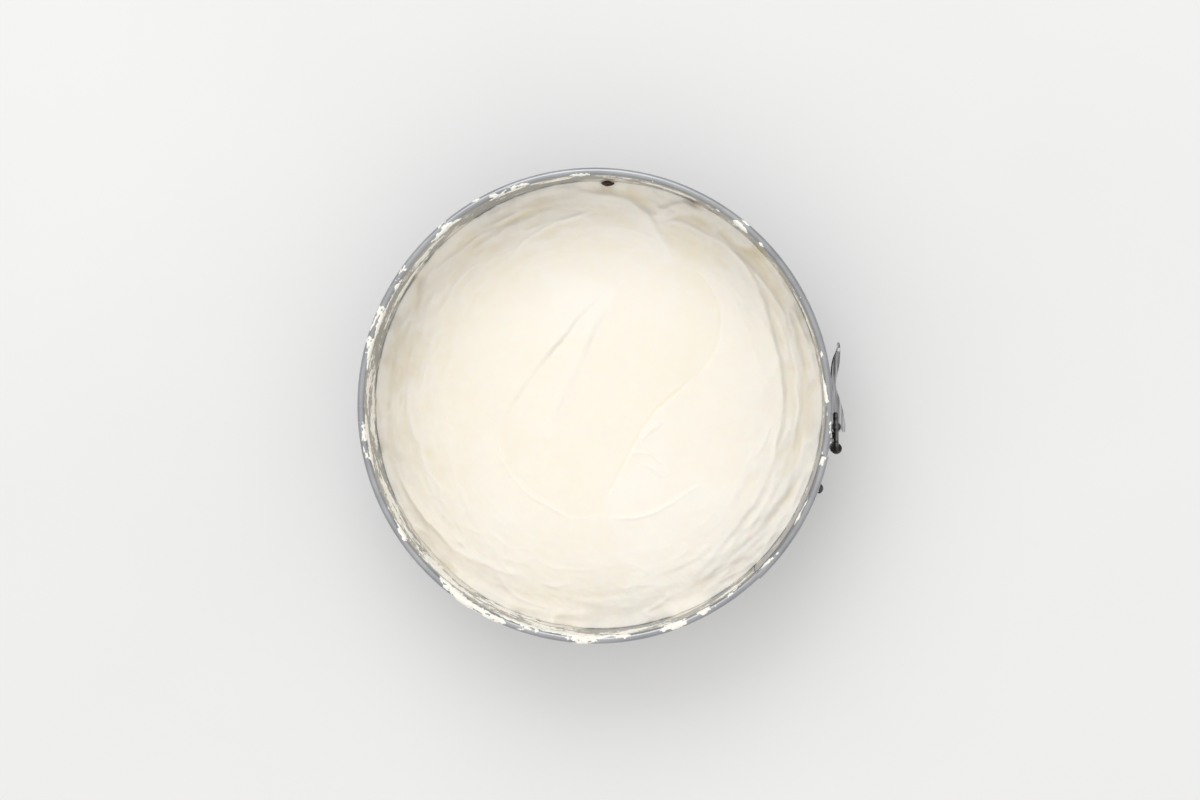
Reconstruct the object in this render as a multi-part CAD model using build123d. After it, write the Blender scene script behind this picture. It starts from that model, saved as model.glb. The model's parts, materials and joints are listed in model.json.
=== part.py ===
from build123d import *
import math
import os

# A springform cake pan. Origin at the middle of the base's underside, +Z up.
# The latch is on the +X side and the band bends open opposite it, on the -X side.

# Driving dimensions, in millimetres and degrees
inner_radius = 115.4        # inside face of the band
band_thickness = 0.5
rim_top = 70.0
rim_bead_radius = 1.9       # rolled rim, round its wire
rim_wire_radius = 1.25
foot_bead_radius = 1.3      # rolled lower edge
moving_gap = 0.3            # between pieces that move apart
running_gap = 0.08          # radial, round a pin that turns
fixed_gap = 0.03            # radial, round a rivet or a pin that is held

base_thickness = 0.8
base_flange_radius = 121.0
base_ridge_height = 4.5
base_ridge_width = 3.6
base_bend_radius = 0.9

filling_top = 33.0
filling_gap = 0.4

# The band's two halves, by angle about +Z from the +X axis
band_flex_angle = 180.0     # where the two halves meet
outer_end_angle = -12.0     # end of the outer half, over the inner one
joggle_angle = -46.0        # where the outer half steps out over the tongue
tongue_end_angle = -45.5
joggle_step = 0.65
joggle_web_angle = 0.3
end_gap_angle = 0.15
flex_gap_angle = 0.03

# Latch, with every pivot parallel to Z
latch_mid_z = 50.0
pivot_x = 121.4             # lever pin
pivot_y = -10.5
lever_pin_radius = 1.5
pin_head_radius = 2.3
pin_head_height = 0.8
crank_x = -0.4              # bail pivot, from the lever pin
crank_y = 6.1
barrel_drop = 10.9          # barrel below the lever pin, along Y
barrel_radius = 2.8
bail_wire_radius = 1.2
bail_bend_radius = 1.6
bail_half_width = 10.6
barrel_half_length = 8.8
lever_half_width = 8.0
lever_sheet = 1.2
lever_plate = 1.0
lever_tip_round = 6.0
lever_boss_radius = 2.8     # of each cheek, round the pin
lug_half_gap = 5.0
lug_sheet = 1.5
lug_radius = 3.0
lug_relief = 1.2            # below the pin, where the lever's heel swings past
bracket_sheet = 1.2
bracket_half_height = 9.0
bracket_start_angle = -5.6
bracket_end_angle = 4.5
keeper_sheet = 1.5
keeper_half_height = 9.5
keeper_start_angle = -24.5
lip_half_height = 8.0
lip_reach = 0.3             # how far the lip passes the barrel's centre, outward
lip_clearance = 0.6
rivet_shank_radius = 1.2
rivet_head_radius = 2.3
bracket_rivet_angle = 2.0
bracket_rivet_height = 0.9
bracket_rivet_spacing = 10.0
keeper_rivet_angle = -20.3
keeper_rivet_height = 4.4
keeper_rivet_spacing = 14.0

band_outer_radius = inner_radius + band_thickness
band_foot = base_thickness + moving_gap
rim_centre_z = rim_top - rim_bead_radius
foot_centre_z = band_foot + foot_bead_radius
keeper_inner_radius = band_outer_radius + joggle_step


def at_radius(angle, radius, z=0.0):
    """Place whose +Z points straight out from the pan's axis."""
    return Rot(0, 0, angle) * Pos(radius, 0, z) * Rot(0, 90, 0)


def swept(section, start_angle, end_angle):
    """Turn a section, drawn as radius and height, about the pan's axis."""
    solid = revolve(Plane.XZ * section, axis=Axis.Z, revolution_arc=end_angle - start_angle)
    return Rot(0, 0, start_angle) * solid


def rectangle(low_x, high_x, low_y, high_y):
    width = high_x - low_x
    height = high_y - low_y
    return Pos((low_x + high_x) / 2, (low_y + high_y) / 2) * Rectangle(width, height)


def bead(radius, bead_radius, centre_z, steps):
    """Rolled edge, and the hollow inside it, over one or more radial steps."""
    centres = [Pos(radius + bead_radius + step, centre_z) for step in steps]
    roll = [place * Circle(bead_radius) for place in centres]
    hollow = [place * Circle(bead_radius - band_thickness) for place in centres]
    return Sketch() + roll, Sketch() + hollow


def band_section(steps):
    """Wall with a rolled rim and a rolled foot; two steps give the web of the joggle."""
    rim, rim_hollow = bead(inner_radius, rim_bead_radius, rim_centre_z, steps)
    foot, foot_hollow = bead(inner_radius, foot_bead_radius, foot_centre_z, steps)
    wall_inside = inner_radius + min(steps)
    wall_outside = band_outer_radius + max(steps)
    wall = rectangle(wall_inside, wall_outside, foot_centre_z, rim_centre_z)
    return (rim - rim_hollow) + (foot - foot_hollow) + (wall - rim_hollow - foot_hollow)


def wire_section(step):
    return Pos(inner_radius + rim_bead_radius + step, rim_centre_z) * Circle(rim_wire_radius)


def rivet_heights(spacing):
    return [latch_mid_z - spacing / 2, latch_mid_z + spacing / 2]


def rivet_holes(angle, spacing):
    """Radial drillings for a pair of rivets, one above the other."""
    drill = Cylinder(rivet_shank_radius + fixed_gap, 4 * rim_bead_radius)
    return [at_radius(angle, inner_radius, height) * drill for height in rivet_heights(spacing)]


def rivet_pair(angle, spacing, inside_radius, plate_radius, head_height):
    """Two rivets, flush inside the band and domed over the plate they hold."""
    rivets = []
    for height in rivet_heights(spacing):
        place = at_radius(angle, 0, height)
        length = plate_radius + head_height / 2
        shank = place * Pos(0, 0, length / 2) * Cylinder(rivet_shank_radius, length)
        ball_radius = (rivet_head_radius**2 + head_height**2) / (2 * head_height)
        ball = place * Pos(0, 0, plate_radius + head_height - ball_radius) * Sphere(ball_radius)
        cap = place * Pos(0, 0, plate_radius + head_height / 2) * Cylinder(rivet_head_radius, 2 * head_height)
        head = (ball & cap) - Pos(0, 0, rim_top / 2) * Cylinder(plate_radius, 2 * rim_top)
        shank -= Pos(0, 0, rim_top / 2) * Cylinder(inside_radius, 2 * rim_top)
        rivets.append(shank + head)
    return Compound(children=[rivet.solid() for rivet in rivets])


def curved_plate(inside_radius, sheet, half_height, start_angle, end_angle):
    low = latch_mid_z - half_height
    high = latch_mid_z + half_height
    section = rectangle(inside_radius, inside_radius + sheet, low, high)
    return swept(section, start_angle, end_angle)


def layer(face, low, high):
    """A face drawn about the lever pin, raised between two heights from the latch's middle."""
    return Pos(pivot_x, pivot_y, latch_mid_z + low) * extrude(face, high - low)


def make_base_plate():
    """Flat disc with a ridge that centres the band, and a flange under it."""
    middle = base_thickness / 2
    ridge_outside = inner_radius - moving_gap - middle
    ridge_inside = inner_radius - moving_gap - base_ridge_width + middle
    ridge_top = base_ridge_height - middle
    sheet_line = FilletPolyline(
        (0, middle),
        (ridge_inside, middle),
        (ridge_inside, ridge_top),
        (ridge_outside, ridge_top),
        (ridge_outside, middle),
        (base_flange_radius, middle),
        radius=base_bend_radius,
    )
    return revolve(Plane.XZ * trace(sheet_line, base_thickness), axis=Axis.Z)


def make_filling():
    """Everything inside the ridge and the band, up to a level top."""
    ridge_inside = inner_radius - moving_gap - base_ridge_width - moving_gap
    low = rectangle(0, ridge_inside, base_thickness + moving_gap, filling_top)
    high = rectangle(0, inner_radius - filling_gap, base_ridge_height + moving_gap, filling_top)
    return revolve(Plane.XZ * (low + high), axis=Axis.Z)


def make_band_inner_half():
    """Half that carries the lever, with a plain tongue inside the other half's end."""
    band = swept(band_section([0]), outer_end_angle, band_flex_angle - flex_gap_angle)
    tongue_section = rectangle(inner_radius, band_outer_radius, foot_centre_z, rim_centre_z - band_thickness)
    band += swept(tongue_section, tongue_end_angle, outer_end_angle)
    return band - rivet_holes(bracket_rivet_angle, bracket_rivet_spacing)


def make_band_outer_half():
    """Half that carries the keeper and steps out over the tongue."""
    joggle_end = joggle_angle + joggle_web_angle
    band = swept(band_section([0]), flex_gap_angle - band_flex_angle, joggle_angle)
    band += swept(band_section([0, joggle_step]), joggle_angle, joggle_end)
    band += swept(band_section([joggle_step]), joggle_end, outer_end_angle - end_gap_angle)
    return band - rivet_holes(keeper_rivet_angle, keeper_rivet_spacing)


def make_rim_wire_inner():
    return swept(wire_section(0), outer_end_angle, band_flex_angle - flex_gap_angle)


def make_rim_wire_outer():
    joggle_middle = joggle_angle + joggle_web_angle / 2
    wire = swept(wire_section(0), flex_gap_angle - band_flex_angle, joggle_middle)
    return wire + swept(wire_section(joggle_step), joggle_middle, outer_end_angle - end_gap_angle)


def make_lever_bracket():
    """Curved plate on the band with two lugs for the lever pin."""
    bracket = curved_plate(
        band_outer_radius, bracket_sheet, bracket_half_height, bracket_start_angle, bracket_end_angle)
    root_x = band_outer_radius - pivot_x
    hole = Circle(lever_pin_radius + fixed_gap)
    root = rectangle(root_x, 0, -lug_relief, lug_radius)
    lug = root + Circle(lug_radius) - hole
    lugs = layer(lug, lug_half_gap, lug_half_gap + lug_sheet)
    lugs += layer(lug, -lug_half_gap - lug_sheet, -lug_half_gap)
    lugs -= Pos(0, 0, latch_mid_z) * Cylinder(band_outer_radius, rim_top)
    bracket += lugs
    return bracket - rivet_holes(bracket_rivet_angle, bracket_rivet_spacing)


def make_lever_pin():
    """Headed pin, peened over outside the lever's cheeks."""
    shank_half = lever_half_width + moving_gap
    pin = Pos(pivot_x, pivot_y, latch_mid_z) * Cylinder(lever_pin_radius, 2 * shank_half)
    for side in (-1, 1):
        head_z = latch_mid_z + side * (shank_half + pin_head_height / 2)
        pin += Pos(pivot_x, pivot_y, head_z) * Cylinder(pin_head_radius, pin_head_height)
    return pin


def make_lever():
    """S-shaped pressed lever: an outer plate with a cheek turned in along each edge.

    The plate runs on past the pin as a bare heel; the cheeks stop at a round boss."""
    heel = (4.4, -2.6)
    tip = (1.7, 42.4)
    outside = Spline(heel, (4.5, 1.0), (3.4, 8.0), (1.2, 15.5), (-0.1, 20.5), (0.0, 23.5), (1.0, 28.5),
                     (1.8, 34.0), tip)
    plate_inside = Pos(-lever_plate, 0) * outside
    heel_inside = (heel[0] - lever_plate, heel[1])
    tip_inside = (tip[0] - lever_plate, tip[1])
    plate_face = make_face([outside, Line(tip, tip_inside), plate_inside, Line(heel_inside, heel)])
    boss_side = (-lever_boss_radius, 0)
    cheek_edge = Spline(tip_inside, (0.5, 38.5), (-0.9, 35.1), (-2.0, 30.0), (-2.4, 25.0), (-2.7, 20.5),
                        (-2.7, 14.0), (-2.9, 7.0), boss_side)
    cheek_face = make_face([outside, Line(tip, tip_inside), cheek_edge, Line(boss_side, heel)])
    cheek_face -= rectangle(-lever_boss_radius, heel_inside[0], heel[1], 0)
    cheek_face += Circle(lever_boss_radius)
    cheek_face -= Circle(lever_pin_radius + running_gap)
    cheek_face -= Pos(crank_x, crank_y) * Circle(bail_wire_radius + running_gap)
    lever = layer(plate_face, -lever_half_width, lever_half_width)
    lever += layer(cheek_face, lever_half_width - lever_sheet, lever_half_width)
    lever += layer(cheek_face, -lever_half_width, lever_sheet - lever_half_width)
    length = tip[1] + 2 * lug_radius
    blank = Pos(pivot_x, pivot_y + tip[1] - length / 2, latch_mid_z) * Box(4 * lever_half_width, length,
                                                                        2 * lever_half_width)
    tip_edges = blank.edges().filter_by(Axis.X).group_by(Axis.Y)[-1]
    return lever & fillet(tip_edges, lever_tip_round)


def make_bail_wire():
    """Wire loop, hooked into the lever's cheeks, with the barrel on its far side."""
    hook = (pivot_x + crank_x, pivot_y + crank_y)
    bar = (pivot_x, pivot_y - barrel_drop)
    stub = lever_half_width - lever_sheet - moving_gap / 2
    line = FilletPolyline(
        (*hook, latch_mid_z + stub),
        (*hook, latch_mid_z + bail_half_width),
        (*bar, latch_mid_z + bail_half_width),
        (*bar, latch_mid_z - bail_half_width),
        (*hook, latch_mid_z - bail_half_width),
        (*hook, latch_mid_z - stub),
        radius=bail_bend_radius,
    )
    return sweep(Plane(origin=line @ 0, z_dir=line % 0) * Circle(bail_wire_radius), path=line)


def make_bail_barrel():
    """Sleeve round the bail's crossbar, which bears on the keeper."""
    place = Pos(pivot_x, pivot_y - barrel_drop, latch_mid_z)
    tube = Cylinder(barrel_radius, 2 * barrel_half_length)
    return place * (tube - Cylinder(bail_wire_radius + running_gap, 2 * barrel_half_length))


def make_keeper():
    """Plate on the outer half, its end turned out into the lip that the barrel hooks round."""
    lip_radius = keeper_sheet / 2
    lip_y = pivot_y - barrel_drop + barrel_radius + lip_clearance + lip_radius
    root_x = keeper_inner_radius + lip_radius
    end_angle = math.degrees(math.asin(lip_y / root_x))
    plate = curved_plate(
        keeper_inner_radius, keeper_sheet, keeper_half_height, keeper_start_angle, end_angle)
    lip_x = pivot_x + lip_reach
    web = Pos((root_x + lip_x) / 2, lip_y) * Rectangle(lip_x - root_x, keeper_sheet)
    web += Pos(root_x, lip_y) * Circle(lip_radius)
    web += Pos(lip_x, lip_y) * Circle(lip_radius)
    lip = Pos(0, 0, latch_mid_z - lip_half_height) * extrude(web, 2 * lip_half_height)
    lip -= Pos(0, 0, latch_mid_z) * Cylinder(keeper_inner_radius, rim_top)
    return plate + lip - rivet_holes(keeper_rivet_angle, keeper_rivet_spacing)


nodes = {
    "base_plate": make_base_plate(),
    "filling": make_filling(),
    "band_inner_half": make_band_inner_half(),
    "band_outer_half": make_band_outer_half(),
    "rim_wire_inner": make_rim_wire_inner(),
    "rim_wire_outer": make_rim_wire_outer(),
    "lever_bracket": make_lever_bracket(),
    "bracket_rivets": rivet_pair(
        bracket_rivet_angle,
        bracket_rivet_spacing,
        inner_radius,
        band_outer_radius + bracket_sheet,
        bracket_rivet_height,
    ),
    "lever_pin": make_lever_pin(),
    "lever": make_lever(),
    "bail_wire": make_bail_wire(),
    "bail_barrel": make_bail_barrel(),
    "keeper": make_keeper(),
    "keeper_rivets": rivet_pair(
        keeper_rivet_angle,
        keeper_rivet_spacing,
        inner_radius + joggle_step,
        keeper_inner_radius + keeper_sheet,
        keeper_rivet_height,
    ),
}

os.makedirs("parts", exist_ok=True)
for name, shape in nodes.items():
    export_step(shape, f"parts/{name}.step")
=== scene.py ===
import json
import math

import bpy
import numpy as np
from mathutils import Matrix, Vector

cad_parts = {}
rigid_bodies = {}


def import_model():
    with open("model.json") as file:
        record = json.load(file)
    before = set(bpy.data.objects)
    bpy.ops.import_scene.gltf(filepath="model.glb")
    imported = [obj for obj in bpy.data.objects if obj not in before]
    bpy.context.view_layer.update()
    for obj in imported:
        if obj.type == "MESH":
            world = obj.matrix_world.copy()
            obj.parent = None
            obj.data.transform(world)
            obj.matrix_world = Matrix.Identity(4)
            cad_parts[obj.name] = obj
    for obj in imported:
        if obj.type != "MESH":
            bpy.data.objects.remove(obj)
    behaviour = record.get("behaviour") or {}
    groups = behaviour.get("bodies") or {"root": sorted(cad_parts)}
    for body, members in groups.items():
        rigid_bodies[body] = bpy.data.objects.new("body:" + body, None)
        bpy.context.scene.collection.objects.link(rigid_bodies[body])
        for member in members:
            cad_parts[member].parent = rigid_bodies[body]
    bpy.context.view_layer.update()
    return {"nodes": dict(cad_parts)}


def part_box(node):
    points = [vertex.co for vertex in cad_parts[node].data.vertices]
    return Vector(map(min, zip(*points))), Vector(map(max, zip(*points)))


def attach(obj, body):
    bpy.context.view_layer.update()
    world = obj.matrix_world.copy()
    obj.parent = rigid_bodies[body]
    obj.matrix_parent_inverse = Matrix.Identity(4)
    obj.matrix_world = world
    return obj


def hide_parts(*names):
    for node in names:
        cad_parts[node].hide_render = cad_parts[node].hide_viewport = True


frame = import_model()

MM = 0.001

# Sizes read from the frame, in metres
BAND_LOW, BAND_HIGH = (Vector(corner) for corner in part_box("band_inner_half"))
LAP_WIRE_HIGH = Vector(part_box("rim_wire_outer")[1])
WIRE_LOW, WIRE_HIGH = (Vector(corner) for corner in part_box("rim_wire_inner"))
FILL_LOW, FILL_HIGH = (Vector(corner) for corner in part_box("filling"))
RIM_Z = BAND_HIGH.z
RIM_OUTSIDE = -BAND_LOW.x
BEAD_Z = (WIRE_LOW.z + WIRE_HIGH.z) / 2
BEAD_RADIUS = RIM_Z - BEAD_Z
WALL_RADIUS = RIM_OUTSIDE - 2 * BEAD_RADIUS
CREAM_Z = FILL_HIGH.z

# Greasy film on the inside of the wall: the heights its ragged edge lies between, how far that edge fades,
# how solid the film gets, and how close to the wall a face has to be to carry it
FILM_LOW = CREAM_Z + 1.0 * MM
FILM_HIGH = CREAM_Z + 27.0 * MM
FILM_FADE = 5.0 * MM
FILM_COVER = 0.85
FILM_SKIN = 0.2 * MM

# The floor is a plain square, a hair under the base so that the two don't flicker
FLOOR_HALF = 6.0
FLOOR_DROP = 0.2 * MM

# Light: a large window beyond the pan, and a sky that is dimmer toward the horizon
WINDOW_PLACE = (-0.45, 2.0, 2.2)
WINDOW_AIM = (0, 0, 0.05)
WINDOW_SIZE = (2.4, 1.8)
WINDOW_POWER = 24.5
WINDOW_COLOUR = (0.955, 0.98, 1.0)
SKY_LOW = (0.60, 0.597, 0.59, 1)
SKY_HIGH = (1.0, 0.992, 0.975, 1)
SKY_STRENGTH = 1.14

# The camera looks almost straight down, from a little toward the latch side of the pan
LENS = 69.35
SENSOR = 36.0
CAMERA_OVER_RIM = 1.153
CAMERA_OFFSET = Vector((0.070, 0.018, 0.0))
AIM_OFFSET = Vector((0.0033, 0.003, 0.0))


# ---------------------------------------------------------------- materials

# Sockets of a mix node that are for colours
MIX_FACTOR = 0
MIX_A = 6
MIX_B = 7
MIX_RESULT = 2


class Nodes:
    """Short hand for building a material's node tree."""

    def __init__(self, name):
        self.material = bpy.data.materials.new(name)
        self.material.use_nodes = True
        self.tree = self.material.node_tree
        self.shader = self.tree.nodes["Principled BSDF"]

    def add(self, kind, inputs=None, **settings):
        node = self.tree.nodes.new(kind)
        for key, value in settings.items():
            setattr(node, key, value)
        for key, value in (inputs or {}).items():
            if isinstance(value, bpy.types.NodeSocket):
                self.tree.links.new(value, node.inputs[key])
            else:
                node.inputs[key].default_value = value
        return node

    def place(self, scale=(1.0, 1.0, 1.0)):
        """Object coordinates in metres, stretched by scale."""
        coordinates = self.add("ShaderNodeTexCoord").outputs["Object"]
        return self.add("ShaderNodeMapping", {"Vector": coordinates, "Scale": scale}).outputs[0]

    def noise(self, vector, scale, detail=4.0, roughness=0.5, distortion=0.0):
        inputs = {"Vector": vector, "Scale": scale, "Detail": detail, "Roughness": roughness,
                  "Distortion": distortion}
        return self.add("ShaderNodeTexNoise", inputs).outputs["Fac"]

    def ramp(self, factor, stops):
        """Colour by factor, through stops of (position, colour)."""
        node = self.add("ShaderNodeValToRGB", {"Fac": factor})
        elements = node.color_ramp.elements
        while len(elements) < len(stops):
            elements.new(0.5)
        for element, (position, colour) in zip(elements, stops):
            element.position = position
            element.color = (*colour, 1.0)
        return node.outputs["Color"]

    def grey_ramp(self, factor, stops):
        return self.ramp(factor, [(position, (value, value, value)) for position, value in stops])

    def bump(self, height, strength, distance, normal=None):
        inputs = {"Height": height, "Strength": strength, "Distance": distance}
        if normal is not None:
            inputs["Normal"] = normal
        return self.add("ShaderNodeBump", inputs).outputs["Normal"]

    def mix(self, factor, a, b):
        """Blend of two colours. The node has a set of sockets for each kind of value, so they go by index."""
        a, b = (end if isinstance(end, bpy.types.NodeSocket) else (*end, 1.0) for end in (a, b))
        node = self.add("ShaderNodeMix", {MIX_FACTOR: factor, MIX_A: a, MIX_B: b}, data_type="RGBA")
        return node.outputs[MIX_RESULT]

    def link(self, output, name):
        self.tree.links.new(output, self.shader.inputs[name])

    def set(self, **values):
        for name, value in values.items():
            self.shader.inputs[name.replace("_", " ")].default_value = value


def batter_film(m):
    """How greasy the wall is with batter: most on its inside near the cream, ragged higher up."""
    place = m.place()
    height = m.add("ShaderNodeSeparateXYZ", {"Vector": place}).outputs["Z"]
    radius = m.add("ShaderNodeVectorMath", {"Vector": m.place((1.0, 1.0, 0.0))}, operation="LENGTH")
    inside = m.add("ShaderNodeMath", {0: radius.outputs["Value"], 1: WALL_RADIUS + FILM_SKIN},
                   operation="LESS_THAN")
    reach = m.add("ShaderNodeMapRange", {"Value": m.noise(place, scale=38.0, detail=6.0, roughness=0.68),
                                         "From Min": 0.44, "From Max": 0.70,
                                         "To Min": FILM_LOW, "To Max": FILM_HIGH})
    under = m.add("ShaderNodeMath", {0: reach.outputs["Result"], 1: height}, operation="SUBTRACT")
    soft = m.add("ShaderNodeMapRange", {"Value": under.outputs[0], "From Min": 0.0, "From Max": FILM_FADE,
                                        "To Min": 0.0, "To Max": FILM_COVER})
    film = m.add("ShaderNodeMath", {0: soft.outputs["Result"], 1: inside.outputs[0]}, operation="MULTIPLY")
    return film.outputs[0]


def rolled_steel(name, dark, light, shiny, dull, film=False):
    """Tinplate with rolling lines round the band, fine scratches, and blotches from shiny to dull."""
    m = Nodes(name)
    lines = m.noise(m.place((8.0, 8.0, 1600.0)), scale=1.0, detail=3.0)
    blotches = m.noise(m.place(), scale=45.0, detail=5.0, roughness=0.6)
    scratches = m.noise(m.place((60.0, 60.0, 900.0)), scale=2.0, detail=6.0, roughness=0.7, distortion=0.4)
    tone = m.ramp(blotches, [(0.3, dark), (0.7, light)])
    colour = m.mix(m.grey_ramp(lines, [(0.35, 0.0), (0.65, 0.35)]), tone, dark)
    roughness = m.grey_ramp(blotches, [(0.3, shiny), (0.75, dull)])
    m.set(Metallic=1.0)
    if film:
        covered = batter_film(m)
        colour = m.mix(covered, colour, (0.90, 0.86, 0.78))
        roughness = m.mix(covered, roughness, (0.5, 0.5, 0.5))
        m.link(m.add("ShaderNodeMath", {0: 1.0, 1: covered}, operation="SUBTRACT").outputs[0], "Metallic")
    m.link(colour, "Base Color")
    m.link(roughness, "Roughness")
    normal = m.bump(lines, strength=0.12, distance=0.0002)
    m.link(m.bump(scratches, strength=0.15, distance=0.0001, normal=normal), "Normal")
    return m.material


def plating_wear_and_reflections(name, dark, light, shiny, dull, patch_scale=(1.0, 1.0, 1.0)):
    """Plated fittings: clean on the flats, duller and darker in patches, which patch_scale can draw out; on
    most fittings the patches are wear, and drawn out along the lever they are painted reflection.
    """
    m = Nodes(name)
    patches = m.noise(m.place(patch_scale), scale=220.0, detail=6.0, roughness=0.65)
    grain = m.noise(m.place(), scale=2500.0, detail=3.0)
    m.link(m.ramp(patches, [(0.38, dark), (0.62, light)]), "Base Color")
    m.link(m.grey_ramp(patches, [(0.3, dull), (0.7, shiny)]), "Roughness")
    m.link(m.bump(grain, strength=0.08, distance=0.0001), "Normal")
    m.set(Metallic=1.0)
    return m.material


def cream_material(name):
    """Thick vanilla batter: moist, faintly translucent, with warm painted shade down in its folds."""
    m = Nodes(name)
    drift = m.noise(m.place(), scale=14.0, detail=4.0, roughness=0.55)
    flecks = m.noise(m.place(), scale=160.0, detail=5.0, roughness=0.6)
    pores = m.noise(m.place(), scale=900.0, detail=4.0, roughness=0.6)
    broad = m.ramp(drift, [(0.35, (0.896, 0.838, 0.735)), (0.65, (0.916, 0.869, 0.795))])
    tone = m.mix(m.grey_ramp(flecks, [(0.45, 0.0), (0.75, 0.3)]), broad, (0.94, 0.89, 0.79))
    # Painted shade: the attribute stored with the mesh mixes in a deeper yellow in the folds, next to the
    # band and round the back of the pan, in place of light that the batter would carry into its shaded parts
    valley_shade = m.add("ShaderNodeAttribute", attribute_name="valley_shade").outputs["Fac"]
    m.link(m.mix(m.grey_ramp(valley_shade, [(0.5, 0.0), (1.0, 0.75)]), tone, (0.85, 0.745, 0.52)), "Base Color")
    m.link(m.grey_ramp(flecks, [(0.3, 0.42), (0.7, 0.55)]), "Roughness")
    normal = m.bump(flecks, strength=0.2, distance=0.0006)
    m.link(m.bump(pores, strength=0.10, distance=0.0002, normal=normal), "Normal")
    m.set(Subsurface_Weight=0.3, Subsurface_Scale=0.0035, Specular_IOR_Level=0.4)
    m.shader.inputs["Subsurface Radius"].default_value = (1.0, 0.7, 0.4)
    return m.material


def smear_material(name):
    """The same batter dried thin on the metal, whiter."""
    m = Nodes(name)
    flecks = m.noise(m.place(), scale=300.0, detail=5.0, roughness=0.65)
    m.link(m.ramp(flecks, [(0.3, (0.88, 0.84, 0.76)), (0.7, (0.96, 0.94, 0.88))]), "Base Color")
    m.link(m.grey_ramp(flecks, [(0.3, 0.5), (0.7, 0.65)]), "Roughness")
    m.link(m.bump(flecks, strength=0.3, distance=0.0005), "Normal")
    m.set(Subsurface_Weight=0.15, Subsurface_Scale=0.002)
    return m.material


def crumb_material(name):
    """Dark baked crust with a coarse broken surface."""
    m = Nodes(name)
    grain = m.noise(m.place(), scale=900.0, detail=6.0, roughness=0.7)
    m.link(m.ramp(grain, [(0.35, (0.02, 0.011, 0.007)), (0.75, (0.11, 0.055, 0.028))]), "Base Color")
    m.link(m.bump(grain, strength=0.6, distance=0.0008), "Normal")
    m.link(m.grey_ramp(grain, [(0.3, 0.6), (0.7, 0.85)]), "Roughness")
    return m.material


def floor_material(name):
    """Plain pale surface with the faintest variation in tone."""
    m = Nodes(name)
    cloud = m.noise(m.place(), scale=3.0, detail=4.0, roughness=0.5)
    m.link(m.ramp(cloud, [(0.35, (0.745, 0.745, 0.747)), (0.65, (0.77, 0.77, 0.771))]), "Base Color")
    m.link(m.grey_ramp(cloud, [(0.3, 0.55), (0.7, 0.62)]), "Roughness")
    return m.material


# ---------------------------------------------------------------- mesh helpers

NOISE_TABLE = 256

# Each layer of noise on a plane is turned on from the last, so that their grids never line up; in radians
LAYER_TURN = 0.5
LAYER_TURN_STEP = 0.7


def mesh_object(name, points, faces, material):
    """A smooth-shaded mesh in the scene, from points in metres."""
    mesh = bpy.data.meshes.new(name)
    mesh.from_pydata([tuple(p) for p in points], [], faces)
    mesh.validate()
    mesh.update()
    mesh.polygons.foreach_set("use_smooth", [True] * len(mesh.polygons))
    thing = bpy.data.objects.new(name, mesh)
    bpy.context.collection.objects.link(thing)
    mesh.materials.append(material)
    return thing


def ring_faces(upper, lower, count):
    """Faces between two rings of count points each, given the number of each ring's first point."""
    faces = []
    for k in range(count):
        k2 = (k + 1) % count
        faces.append((upper + k, lower + k, lower + k2, upper + k2))
    return faces


def value_noise(u, v, seed, wrap=NOISE_TABLE):
    """Noise from -1 to 1 on a unit grid, which repeats every wrap cells along u."""
    table = np.random.RandomState(seed).uniform(-1.0, 1.0, (NOISE_TABLE, NOISE_TABLE))
    i = np.floor(u).astype(int)
    j = np.floor(v).astype(int)
    fu = u - i
    fv = v - j
    fu = fu * fu * (3 - 2 * fu)
    fv = fv * fv * (3 - 2 * fv)
    i0 = i % wrap
    i1 = (i + 1) % wrap
    j0 = j % NOISE_TABLE
    j1 = (j + 1) % NOISE_TABLE
    low = table[i0, j0] * (1 - fu) + table[i1, j0] * fu
    high = table[i0, j1] * (1 - fu) + table[i1, j1] * fu
    return low * (1 - fv) + high * fv


def layered_noise(x, y, cell, seed, layers=4, fade=0.5):
    """Noise on a plane: cell is the size of its largest lumps, in the unit of x and y."""
    total = np.zeros_like(x)
    for layer in range(layers):
        size = cell * 0.5**layer
        turn = LAYER_TURN + LAYER_TURN_STEP * layer
        u = (x * math.cos(turn) - y * math.sin(turn)) / size
        v = (x * math.sin(turn) + y * math.cos(turn)) / size
        total += value_noise(u, v, seed + layer) * fade**layer
    return total


def ring_noise(angle, across, cells_round, cell, seed, layers=3, fade=0.5):
    """Noise that closes on itself after a whole turn; angle is in radians."""
    total = np.zeros_like(across)
    for layer in range(layers):
        cells = cells_round * 2**layer
        turn = angle / (2 * math.pi) * cells
        total += value_noise(turn, across / (cell * 0.5**layer), seed + layer, cells) * fade**layer
    return total


def smooth_line(points, step=1.0):
    """A curve through a few points in millimetres, sampled evenly enough to measure from."""
    p = np.array(points, dtype=float)
    ends = np.vstack([2 * p[0] - p[1], p, 2 * p[-1] - p[-2]])
    out = []
    for i in range(1, len(ends) - 2):
        p0, p1, p2, p3 = ends[i - 1:i + 3]
        count = max(2, int(np.linalg.norm(p2 - p1) / step))
        t = np.linspace(0, 1, count, endpoint=False)[:, None]
        out.append(0.5 * ((2 * p1) + (p2 - p0) * t + (2 * p0 - 5 * p1 + 4 * p2 - p3) * t**2
                          + (3 * p1 - p0 - 3 * p2 + p3) * t**3))
    out.append(ends[-2][None, :])
    return np.vstack(out)


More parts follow.
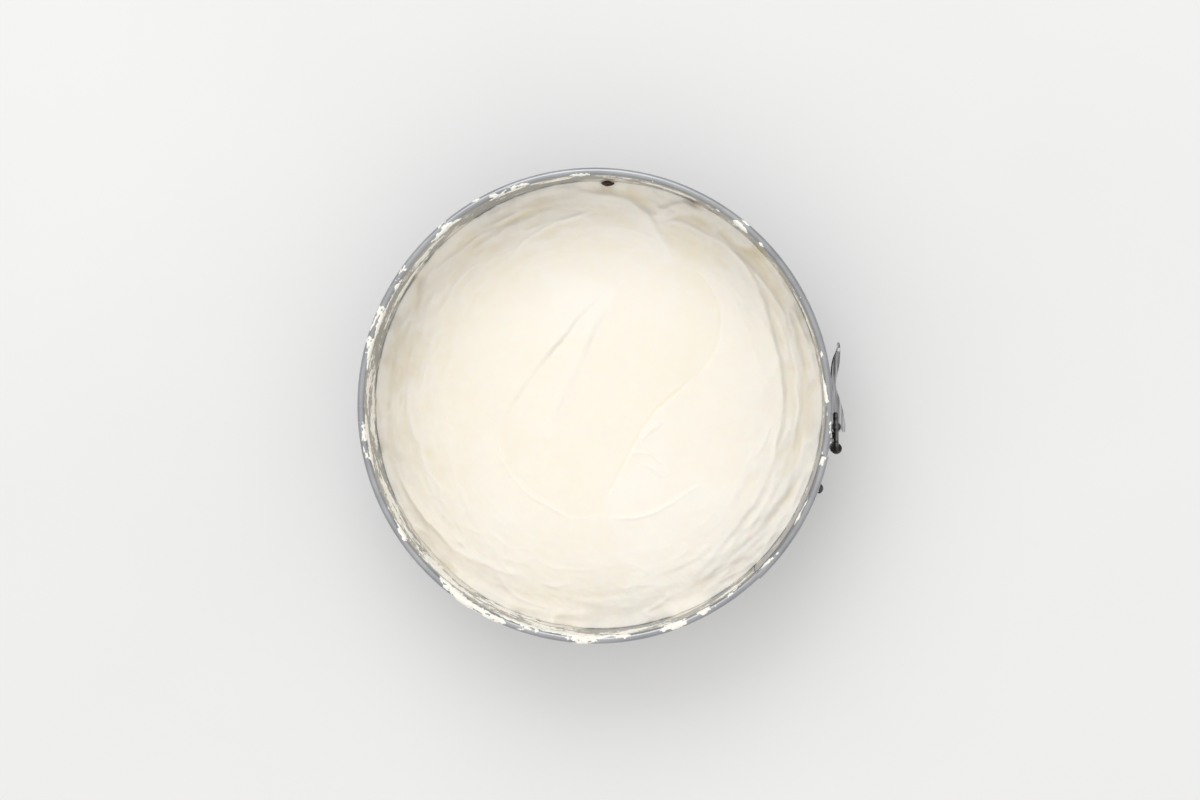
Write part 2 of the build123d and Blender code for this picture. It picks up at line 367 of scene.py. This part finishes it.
def along_and_beside(x, y, line):
    """For each point: how far along the line it is, from 0 to 1, and its signed distance, left positive."""
    tangent = np.gradient(line, axis=0)
    tangent /= np.linalg.norm(tangent, axis=1)[:, None]
    best = np.full(x.shape, np.inf)
    side = np.zeros_like(x)
    along = np.zeros_like(x)
    for index, (point, direction) in enumerate(zip(line, tangent)):
        dx = x - point[0]
        dy = y - point[1]
        d2 = dx * dx + dy * dy
        near = d2 < best
        best[near] = d2[near]
        side[near] = np.sign(direction[0] * dy[near] - direction[1] * dx[near])
        along[near] = index / (len(line) - 1)
    return along, np.sqrt(best) * np.where(side == 0, 1, side)


# ---------------------------------------------------------------- cream

# Marks that the spatula left. Each is a line drawn across the cream in millimetres, then its ridge, its
# raised side, the half width of both edges, and how far the raised side runs back. The ridge and the
# raised side are shares of MARK_DEPTH. A ridge below zero is a groove. A raised side above zero is on the
# left of the line as it is drawn, and below zero on its right.
MARKS = [
    # long swipe from the middle down to the left, and the softer edge beside it
    ([(4, 60), (-11, 42), (-28, 21), (-41, 4), (-51, -10)], -0.36, -0.78, 1.1, 9.0),
    ([(10, 59), (0, 41), (-10, 18), (-20, -2), (-23, -19)], -0.10, -0.6, 1.8, 12.0),
    # crease that winds down the middle
    ([(44, 70), (56, 64), (63, 49), (62, 34), (51, 16), (31, -2), (21, -17), (13, -30), (5, -45), (0, -54)],
     -0.38, 0.50, 0.9, 12.0),
    # line at the upper left
    ([(-2, 100), (-12, 98), (-25, 92), (-37, 85), (-46, 74)], 0.40, -0.40, 1.0, 9.0),
    # low arc where the swipe turned
    ([(-52, -12), (-50, -28), (-38, -45), (-25, -53), (-11, -59), (3, -57)], 0.34, -0.30, 0.9, 12.0),
    ([(1, -58), (13, -58), (26, -56), (40, -49), (53, -40)], 0.34, -0.24, 0.9, 11.0),
    # long arc inside the rim on the latch side
    ([(57, 95), (69, 80), (81, 64), (89, 42), (94, 18), (95, -2), (91, -27)], 0.30, -0.62, 1.3, 8.0),
    ([(94, -8), (91, -27), (82, -48), (66, -70), (56, -83), (43, -96)], 0.20, -0.45, 1.6, 9.0),
    # ridge along the top, which turns down to the right
    ([(-30, 110), (-13, 111), (0, 109), (13, 107), (22, 101), (28, 94), (35, 82), (40, 74)],
     0.35, -0.7, 1.8, 7.0),
    # wrinkles at the upper right
    ([(26, 93), (38, 96), (49, 97), (57, 92)], -0.45, 0.75, 1.8, 5.0),
    ([(30, 100), (44, 103), (53, 97)], 0.45, -0.6, 1.7, 4.0),
    ([(64, 88), (73, 82), (84, 79)], -0.5, 0.8, 1.8, 4.5),
    ([(58, 80), (62, 90), (72, 94)], 0.35, 0.5, 1.6, 4.0),
    # soft folds down the left side
    ([(-80, 92), (-89, 74), (-93, 59), (-94, 41), (-91, 30)], -0.48, 1.15, 1.9, 7.0),
    ([(-62, 97), (-74, 88), (-84, 74)], 0.30, -0.5, 2.0, 6.0),
    ([(-97, 14), (-100, 0), (-97, -14), (-92, -26)], 0.42, 0.65, 1.6, 6.0),
    # deep fold at the lower left
    ([(-103, -30), (-96, -50), (-84, -65), (-71, -76), (-56, -83)], 0.65, -1.15, 1.7, 5.5),
    ([(-76, -66), (-62, -79), (-48, -86), (-34, -88)], 0.45, -0.7, 1.6, 4.5),
    # folds at the bottom and the lower right
    ([(-67, -90), (-48, -101), (-28, -106), (-2, -108)], 0.45, -0.6, 1.8, 5.0),
    ([(-30, -92), (-22, -94), (-14, -91)], 0.30, 0.4, 1.2, 4.0),
    ([(62, -81), (76, -71), (86, -62), (96, -48), (108, -30)], -0.55, 0.9, 1.8, 5.5),
    ([(46, -96), (62, -84), (80, -77)], -0.40, 0.7, 1.6, 4.5),
    ([(76, -80), (88, -68), (98, -54)], 0.40, 0.45, 1.5, 4.0),
    # small lifted bits near the middle
    ([(22, -18), (27, -12), (33, -9)], 0.40, -0.35, 0.9, 3.0),
    ([(17, -25), (26, -25), (35, -31)], 0.34, -0.30, 0.9, 3.0),
    ([(22, -31), (29, -33), (35, -38)], 0.24, 0.25, 0.9, 3.0),
]

# Rings and points round the cream's mesh. The spread below 1 draws the rings together toward the wall.
CREAM_RINGS = 180
CREAM_TURNS = 880
RING_SPREAD = 0.9

# Lengths and heights from here to the valleys are in millimetres. First, how much a mark's line wavers, how
# it thins toward its ends, how unevenly the spatula bit, and how steep the edge of the raised side is
MARK_DEPTH = 2.2
WAVER = 1.1
WAVER_FINE = 0.3
TAPER = 0.6
BITE = 0.75
BITE_CHANGE = 0.5
BITE_LIMITS = (0.15, 1.4)
SHELF_STEEPNESS = 2.2
STEEP_LIMIT = 30

# The rough part of the cream starts this far out, and is at its full roughness this much further
ROUGH_START = 70.0
ROUGH_WIDTH = 36.0

# Heights of the cream's own unevenness, from the broadest to the finest
BROAD_HEIGHT = 0.5
TILT = 0.012
FOLD_HEIGHT = 0.75
DRAG_HEIGHT = 0.22
GRAIN_HEIGHT = 0.05
GRAIN_HEIGHT_ROUGH = 0.15
PIT_DEPTH = 0.45
PIT_SHARE = 0.3
PIT_LEVEL = 0.66

# Next to the wall the cream climbs, raggedly
CLIMB_START = 107.0
CLIMB_WIDTH = 8.0
CLIMB_HEIGHT = 1.1
CLIMB_RAGGED = 1.5

# How far the cream reaches past the plain filling, to the wall. Then its side below the surface: how far in
# from there, and at what height
CREAM_REACH = 0.3
CREAM_SIDE = [(0.0, 6.0), (3.8, 5.0), (4.1, FILL_LOW.z / MM)]

# Where the cream counts as a valley and gets painted warm shade: under this level, which rises in the rough
# part next to the band, and more so round the back of the pan, where the band shades the cream from the
# window, than round the front
VALLEY_SHADE_LEVEL = 0.15
VALLEY_SHADE_RISE = 0.28
BACK_SHADE_TURN = 0.34
VALLEY_SHADE_MIDDLE = 0.5
VALLEY_SHADE_SLOPE = 0.45


def mark_height(x, y, mark):
    """What one mark adds: a crest along its line, and a shelf that runs back from it on one side."""
    points, ridge, raised, soft, run = mark
    waver = WAVER * layered_noise(x, y, cell=24.0, seed=31, layers=2)
    waver = waver + WAVER_FINE * layered_noise(x, y, cell=5.0, seed=35, layers=2)
    along, beside = along_and_beside(x, y, smooth_line(points))
    beside = (beside + waver) * (1.0 if raised > 0 else -1.0)
    taper = np.sin(np.pi * along)**TAPER
    bite = np.clip(BITE + BITE_CHANGE * layered_noise(x, y, cell=17.0, seed=41, layers=2), *BITE_LIMITS)
    crest = ridge * np.exp(-(beside / soft)**2)
    side = 1.0 / (1.0 + np.exp(-np.clip(SHELF_STEEPNESS * beside / soft, -STEEP_LIMIT, STEEP_LIMIT)))
    shelf = abs(raised) * side * np.exp(-np.clip(beside, 0, None) / run)
    return MARK_DEPTH * taper * bite * (crest + shelf)


def outer_share(radius):
    """0 in the smooth middle of the cream, rising to 1 in the rougher part next to the band."""
    return np.clip((radius - ROUGH_START) / ROUGH_WIDTH, 0, 1)


def cream_heights(x, y):
    """The cream's broad level and its finer relief, both in millimetres over its mean level."""
    radius = np.hypot(x, y)
    angle = np.arctan2(y, x)
    broad = BROAD_HEIGHT * layered_noise(x, y, cell=46.0, seed=3, layers=2) + TILT * x
    relief = np.zeros_like(x)
    for mark in MARKS:
        relief += mark_height(x, y, mark)
    outer = outer_share(radius)
    folds = ring_noise(angle, radius, cells_round=17, cell=10.0, seed=11, layers=3)
    relief += FOLD_HEIGHT * outer * (1.0 - np.abs(folds))**3
    drag = ring_noise(angle, radius, cells_round=44, cell=3.4, seed=15, layers=2)
    relief += DRAG_HEIGHT * outer * drag
    grain = layered_noise(x, y, cell=5.0, seed=21, layers=3)
    relief += (GRAIN_HEIGHT + GRAIN_HEIGHT_ROUGH * outer) * grain
    pits = layered_noise(x, y, cell=2.4, seed=51, layers=1)
    relief -= PIT_DEPTH * (PIT_SHARE + outer) * np.clip(pits - PIT_LEVEL, 0, 1)
    climb = np.clip((radius - CLIMB_START) / CLIMB_WIDTH, 0, 1)
    ragged = ring_noise(angle, 0 * radius, cells_round=62, cell=9.0, seed=61, layers=3)
    relief += climb**2 * (CLIMB_HEIGHT + CLIMB_RAGGED * ragged)
    return broad, relief


def make_cream():
    """The cream: its marked surface out to the wall, its side and its underside, as one closed mesh."""
    fill = FILL_HIGH.x / MM + CREAM_REACH
    rings = fill * np.linspace(0, 1, CREAM_RINGS + 1)[1:]**RING_SPREAD
    turns = np.linspace(0, 2 * math.pi, CREAM_TURNS, endpoint=False)
    r, a = np.meshgrid(rings, turns, indexing="ij")
    x = r * np.cos(a)
    y = r * np.sin(a)
    broad, relief = cream_heights(x, y)
    z = CREAM_Z / MM + broad + relief
    middle = sum(cream_heights(np.zeros(1), np.zeros(1)))[0]
    points = [(0.0, 0.0, CREAM_Z / MM + float(middle))]
    points += list(zip(x.ravel(), y.ravel(), z.ravel()))
    faces = []
    n = CREAM_TURNS
    for k in range(n):
        faces.append((0, 1 + k, 1 + (k + 1) % n))
    for ring in range(CREAM_RINGS - 1):
        first = 1 + ring * n
        faces += ring_faces(first, first + n, n)
    # side and underside, close to the band and the base
    last = 1 + (CREAM_RINGS - 1) * n
    for inset, height in CREAM_SIDE:
        radius = fill - inset
        start = len(points)
        points += [(radius * math.cos(t), radius * math.sin(t), height) for t in turns]
        faces += ring_faces(last, start, n)
        last = start
    points.append((0.0, 0.0, FILL_LOW.z / MM))
    for k in range(n):
        faces.append((last + k, len(points) - 1, last + (k + 1) % n))
    thing = mesh_object("cream_filling", np.array(points) * MM, faces, cream_material("cream"))
    # Painted shade, stored per point: how much deeper yellow each point gets, more in hollows, near the band
    # and round the back of the pan
    valley_shade = np.full(len(points), VALLEY_SHADE_MIDDLE)
    level = VALLEY_SHADE_LEVEL + (VALLEY_SHADE_RISE + BACK_SHADE_TURN * np.sin(a)) * outer_share(r)
    depth = np.clip(VALLEY_SHADE_MIDDLE - VALLEY_SHADE_SLOPE * (relief - level), 0.0, 1.0)
    valley_shade[1:1 + relief.size] = depth.ravel()
    thing.data.attributes.new("valley_shade", "FLOAT", "POINT").data.foreach_set("value", valley_shade)
    return thing


# ---------------------------------------------------------------- smears

# Batter left on the metal: angle and half width in degrees, then where it lies up the band's section and
# its half height in millimetres. The section runs up the wall from the cream, over the rim and down outside.
SMEARS = [
    (4, 5.0, 36.5, 2.0), (12.8, 0.9, 37, 1.2), (22, 6.0, 20, 6.0), (44, 0.7, 36, 1.3),
    (50, 2.4, 35, 4.0), (57.5, 0.7, 36, 1.2), (70, 8.0, 24, 5.0), (85, 5.0, 32, 2.2),
    (93.5, 2.2, 35.5, 1.6), (100, 5.0, 28, 6.0), (111, 6.0, 35, 2.6), (119.5, 1.8, 39.5, 1.2),
    (130.5, 4.2, 35, 3.0), (140, 6.0, 24, 7.0), (148, 3.6, 36, 2.6), (150, 9.0, 14, 6.0),
    (157.5, 6.5, 34.6, 3.3), (167, 4.5, 36.5, 2.4), (175, 6.0, 26, 6.0), (182, 12.0, 12, 7.0),
    (188, 6.5, 33, 4.5), (206, 11.0, 22, 9.0), (213, 5.0, 35, 2.2), (228, 14.0, 24, 10.0),
    (236, 3.2, 38.2, 3.0), (241, 8.0, 38.6, 2.2), (246, 9.0, 10, 7.0), (253, 8.0, 34, 2.4),
    (257, 7.0, 20, 7.0), (265, 6.0, 30, 9.0), (272, 8.0, 35.0, 2.5), (280, 8.0, 26, 8.0),
    (291.5, 3.2, 37.5, 2.2), (299, 2.2, 36.5, 1.8), (306, 5.0, 28, 5.0), (318, 1.5, 36.5, 0.8),
    (332, 3.0, 36, 0.8), (347, 1.6, 37, 2.0),
]

# How thick the batter lies: full in the middle of a patch, and ragged toward its edge with noise that is
# squeezed up the section, so that it runs in streaks round the band
SMEAR_BARE = -0.75
SMEAR_COVER = 0.66
SMEAR_STREAKS = 0.52
SMEAR_FINE = 0.24
STREAK_SQUEEZE = 2.8
FINE_SQUEEZE = 1.5
SMEAR_CUT = 0.17
SMEAR_THICKNESS = 0.9
SMEAR_LIMITS = (-0.2, 0.5)

# Steps of the smears' mesh, up the section in millimetres and round the pan in degrees
SECTION_STEP = 0.3
ANGLE_STEP = 0.14

# How far round the rolled rim the smears reach, and how far round it the section is worked out
RIM_REACH = 1.1 * math.pi
RIM_LIMIT = 1.25 * math.pi

# Heights on the section, in millimetres up from the cream
WALL_TOP = (BEAD_Z - CREAM_Z) / MM
SECTION_LOW = -1.0
SECTION_TOP = WALL_TOP + RIM_REACH * BEAD_RADIUS / MM
TONGUE_TOP = WALL_TOP - 1.0
LAP_LOW = WALL_TOP + 0.4

# Where the smears on each stretch of the band start and end, in degrees, a little short of its real ends
INNER_HALF = (-11.8, 179.97)
OUTER_HALF = (180.03, 313.8)
TONGUE = (314.8, 347.6)
LAP = (314.5, 347.7)

# Beside the latch the outer half laps over the inner one. Its rim lies further out there by this step, which
# comes from the end of its wire, where it reaches furthest toward the latch
LAP_END = math.radians(12.15)
LAP_STEP = (LAP_WIRE_HIGH.x / math.cos(LAP_END) + WIRE_LOW.x) / MM


def band_section_point(s, step_out):
    """Point and surface normal on the band's section, s millimetres up it, moved out by step_out."""
    bead = BEAD_RADIUS / MM
    radius = WALL_RADIUS / MM + step_out
    turn = np.clip((s - WALL_TOP) / bead, 0.0, RIM_LIMIT)
    on_wall = s < WALL_TOP
    r = np.where(on_wall, radius, radius + bead - bead * np.cos(turn))
    z = np.where(on_wall, CREAM_Z / MM + s, BEAD_Z / MM + bead * np.sin(turn))
    nr = np.where(on_wall, -1.0, -np.cos(turn))
    nz = np.where(on_wall, 0.0, np.sin(turn))
    return r, z, nr, nz


def smear_thickness(angle, s):
    """How thick the batter lies, in millimetres; below zero there is none."""
    arc = angle * math.pi / 180 * WALL_RADIUS / MM
    streaks = layered_noise(arc, s * STREAK_SQUEEZE, cell=7.0, seed=71, layers=4, fade=0.62)
    fine = layered_noise(arc, s * FINE_SQUEEZE, cell=1.3, seed=91, layers=2)
    cover = np.full(angle.shape, SMEAR_BARE)
    for centre, half, height, spread in SMEARS:
        u = (angle - centre + 180) % 360 - 180
        blob = 1.0 - np.sqrt((u / half)**2 + ((s - height) / spread)**2)
        cover = np.maximum(cover, blob)
    film = SMEAR_COVER * cover + SMEAR_STREAKS * streaks + SMEAR_FINE * fine - SMEAR_CUT
    return np.clip(film * SMEAR_THICKNESS, *SMEAR_LIMITS)


def make_smears(name, body, stretch, low, high, step_out, material):
    """One mesh of batter patches over a stretch of the band, between two heights on its section."""
    start, end = stretch
    angles = np.linspace(start, end, int((end - start) / ANGLE_STEP))
    stations = np.linspace(low, high, int((high - low) / SECTION_STEP))
    a, s = np.meshgrid(angles, stations, indexing="ij")
    thick = smear_thickness(a, s)
    r, z, nr, nz = band_section_point(s, step_out)
    r = r + nr * thick
    z = z + nz * thick
    x = r * np.cos(np.radians(a))
    y = r * np.sin(np.radians(a))
    wet = thick > 0.0
    cells = wet[:-1, :-1] | wet[1:, :-1] | wet[:-1, 1:] | wet[1:, 1:]
    index = np.full(thick.shape, -1, dtype=int)
    points = []
    faces = []

    def number(i, j):
        if index[i, j] < 0:
            index[i, j] = len(points)
            points.append((x[i, j], y[i, j], z[i, j]))
        return int(index[i, j])

    for i, j in zip(*np.nonzero(cells)):
        faces.append((number(i, j), number(i, j + 1), number(i + 1, j + 1), number(i + 1, j)))
    thing = mesh_object(name, np.array(points) * MM, faces, material)
    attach(thing, body)
    return thing


# The crumb: where it lies round the pan, how far in from the wall and over the cream, its half sizes along
# the wall, across it and upward, and how high, how close and how slanted its lumps are
CRUMB_ANGLE = math.radians(87.4)
CRUMB_INSET = 1.5 * MM
CRUMB_RISE = 2.0 * MM
CRUMB_SIZE = np.array([3.1, 1.2, 1.5]) * MM
CRUMB_LUMPS = 0.28
LUMP_RATE = 3
LUMP_SLANT = 2
LUMP_SHIFT = 9
CRUMB_TURNS = 28
CRUMB_ROWS = 16


def make_crumb(material):
    """A dark crumb of crust caught where the cream meets the wall."""
    centre = Vector((math.cos(CRUMB_ANGLE), math.sin(CRUMB_ANGLE), 0)) * (WALL_RADIUS - CRUMB_INSET)
    centre.z = CREAM_Z + CRUMB_RISE
    points = []
    for row in range(CRUMB_ROWS + 1):
        down = math.pi * row / CRUMB_ROWS
        for k in range(CRUMB_TURNS):
            turn = 2 * math.pi * k / CRUMB_TURNS
            points.append((math.sin(down) * math.cos(turn), math.sin(down) * math.sin(turn), math.cos(down)))
    p = np.array(points)
    u = p[:, 0] * LUMP_RATE + LUMP_SHIFT
    v = p[:, 1] * LUMP_RATE + p[:, 2] * LUMP_SLANT + LUMP_SHIFT
    lumps = 1.0 + CRUMB_LUMPS * value_noise(u, v, seed=7)
    p = p * lumps[:, None] * CRUMB_SIZE
    faces = []
    for row in range(CRUMB_ROWS):
        first = row * CRUMB_TURNS
        faces += ring_faces(first, first + CRUMB_TURNS, CRUMB_TURNS)
    tilt = CRUMB_ANGLE - math.pi / 2
    x = p[:, 0] * math.cos(tilt) - p[:, 1] * math.sin(tilt)
    y = p[:, 0] * math.sin(tilt) + p[:, 1] * math.cos(tilt)
    turned = np.column_stack([x, y, p[:, 2]])
    return mesh_object("crust_crumb", turned + np.array(centre), faces, material)


# ---------------------------------------------------------------- the stage

def make_stage():
    """A plain floor, wide enough that its edge is out of the camera's view."""
    corners = [(x * FLOOR_HALF, y * FLOOR_HALF, 0) for x, y in ((-1, -1), (1, -1), (1, 1), (-1, 1))]
    floor = mesh_object("floor", np.array(corners), [(0, 1, 2, 3)], floor_material("floor"))
    floor.location.z = -FLOOR_DROP


def area_light(name, place, aim, size, power, colour):
    """A rectangular light at place, turned to face aim."""
    data = bpy.data.lights.new(name, "AREA")
    data.shape = "RECTANGLE"
    data.size, data.size_y = size
    data.energy = power
    data.color = colour
    light = bpy.data.objects.new(name, data)
    light.location = place
    light.rotation_euler = (Vector(aim) - Vector(place)).to_track_quat("-Z", "Y").to_euler()
    bpy.context.collection.objects.link(light)


def make_lights():
    """A large soft window beyond the pan, and a pale ceiling over dimmer walls."""
    area_light("window", WINDOW_PLACE, WINDOW_AIM, WINDOW_SIZE, WINDOW_POWER, WINDOW_COLOUR)
    world = bpy.data.worlds.new("studio")
    bpy.context.scene.world = world
    world.use_nodes = True
    nodes = world.node_tree.nodes
    links = world.node_tree.links
    coordinates = nodes.new("ShaderNodeTexCoord")
    split = nodes.new("ShaderNodeSeparateXYZ")
    ramp = nodes.new("ShaderNodeValToRGB")
    elements = ramp.color_ramp.elements
    elements[0].position = 0.0
    elements[0].color = SKY_LOW
    elements[1].position = 1.0
    elements[1].color = SKY_HIGH
    links.new(coordinates.outputs["Generated"], split.inputs[0])
    links.new(split.outputs["Z"], ramp.inputs["Fac"])
    links.new(ramp.outputs["Color"], nodes["Background"].inputs["Color"])
    nodes["Background"].inputs["Strength"].default_value = SKY_STRENGTH


def make_camera():
    """Looks down at the pan with the latch on the right of the picture."""
    data = bpy.data.cameras.new("camera")
    data.lens = LENS
    data.sensor_width = SENSOR
    camera = bpy.data.objects.new("camera", data)
    bpy.context.collection.objects.link(camera)
    camera.location = CAMERA_OFFSET + Vector((0, 0, RIM_Z + CAMERA_OVER_RIM))
    back = (camera.location - AIM_OFFSET - Vector((0, 0, RIM_Z))).normalized()
    right = Vector((0, 1, 0)).cross(back).normalized()
    up = back.cross(right)
    camera.rotation_euler = Matrix((right, up, back)).transposed().to_euler()
    bpy.context.scene.camera = camera
    bpy.context.scene.view_settings.view_transform = "Standard"


def finish_cad_nodes():
    """Better materials on the CAD nodes that stay."""
    band = rolled_steel("band_steel", dark=(0.30, 0.306, 0.322), light=(0.45, 0.455, 0.47),
                        shiny=0.26, dull=0.40, film=True)
    base = rolled_steel("base_steel", dark=(0.36, 0.36, 0.37), light=(0.50, 0.50, 0.51),
                        shiny=0.28, dull=0.42)
    wire = plating_wear_and_reflections("wire_steel", dark=(0.14, 0.14, 0.14), light=(0.34, 0.34, 0.34),
                        shiny=0.22, dull=0.42)
    bail = plating_wear_and_reflections("bail_steel", dark=(0.04, 0.039, 0.038), light=(0.17, 0.165, 0.16),
                        shiny=0.18, dull=0.34)
    fitting = plating_wear_and_reflections("fitting_steel", dark=(0.27, 0.27, 0.275), light=(0.38, 0.38, 0.385),
                           shiny=0.26, dull=0.40)
    rivet = plating_wear_and_reflections("rivet_steel", dark=(0.035, 0.035, 0.036), light=(0.11, 0.11, 0.115),
                         shiny=0.16, dull=0.34)
    barrel = plating_wear_and_reflections("barrel_steel", dark=(0.012, 0.011, 0.010), light=(0.08, 0.075, 0.07),
                          shiny=0.22, dull=0.4)
    # Painted reflection: the lever's dark base and the light and dark streaks drawn out along it stand in for
    # a dark room mirrored in the chrome
    chrome_reflections = plating_wear_and_reflections("lever_chrome", dark=(0.075, 0.073, 0.07), light=(0.42, 0.42, 0.435),
                          shiny=0.10, dull=0.20, patch_scale=(4.0, 0.15, 2.0))
    finishes = {
        "base_plate": base,
        "band_inner_half": band,
        "band_outer_half": band,
        "rim_wire_inner": wire,
        "rim_wire_outer": wire,
        "lever_bracket": fitting,
        "bracket_rivets": rivet,
        "lever_pin": rivet,
        "lever": chrome_reflections,
        "bail_wire": bail,
        "bail_barrel": barrel,
        "keeper": fitting,
        "keeper_rivets": rivet,
    }
    for node, material in finishes.items():
        thing = frame["nodes"][node]
        for holder in [thing, *thing.children_recursive]:
            for material_slot in holder.material_slots:
                material_slot.material = material


make_camera()
make_lights()
make_stage()
finish_cad_nodes()

cream = make_cream()
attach(cream, "filling")
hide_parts("filling")

crumb = make_crumb(crumb_material("crust"))
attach(crumb, "filling")

smear = smear_material("smear")
make_smears("smears_inner_half", "ring", INNER_HALF, SECTION_LOW, SECTION_TOP, 0.0, smear)
make_smears("smears_tongue", "ring", TONGUE, SECTION_LOW, TONGUE_TOP, 0.0, smear)
make_smears("smears_outer_half", "ring_far_half", OUTER_HALF, SECTION_LOW, SECTION_TOP, 0.0, smear)
make_smears("smears_lap", "ring_far_half", LAP, LAP_LOW, SECTION_TOP, LAP_STEP, smear)
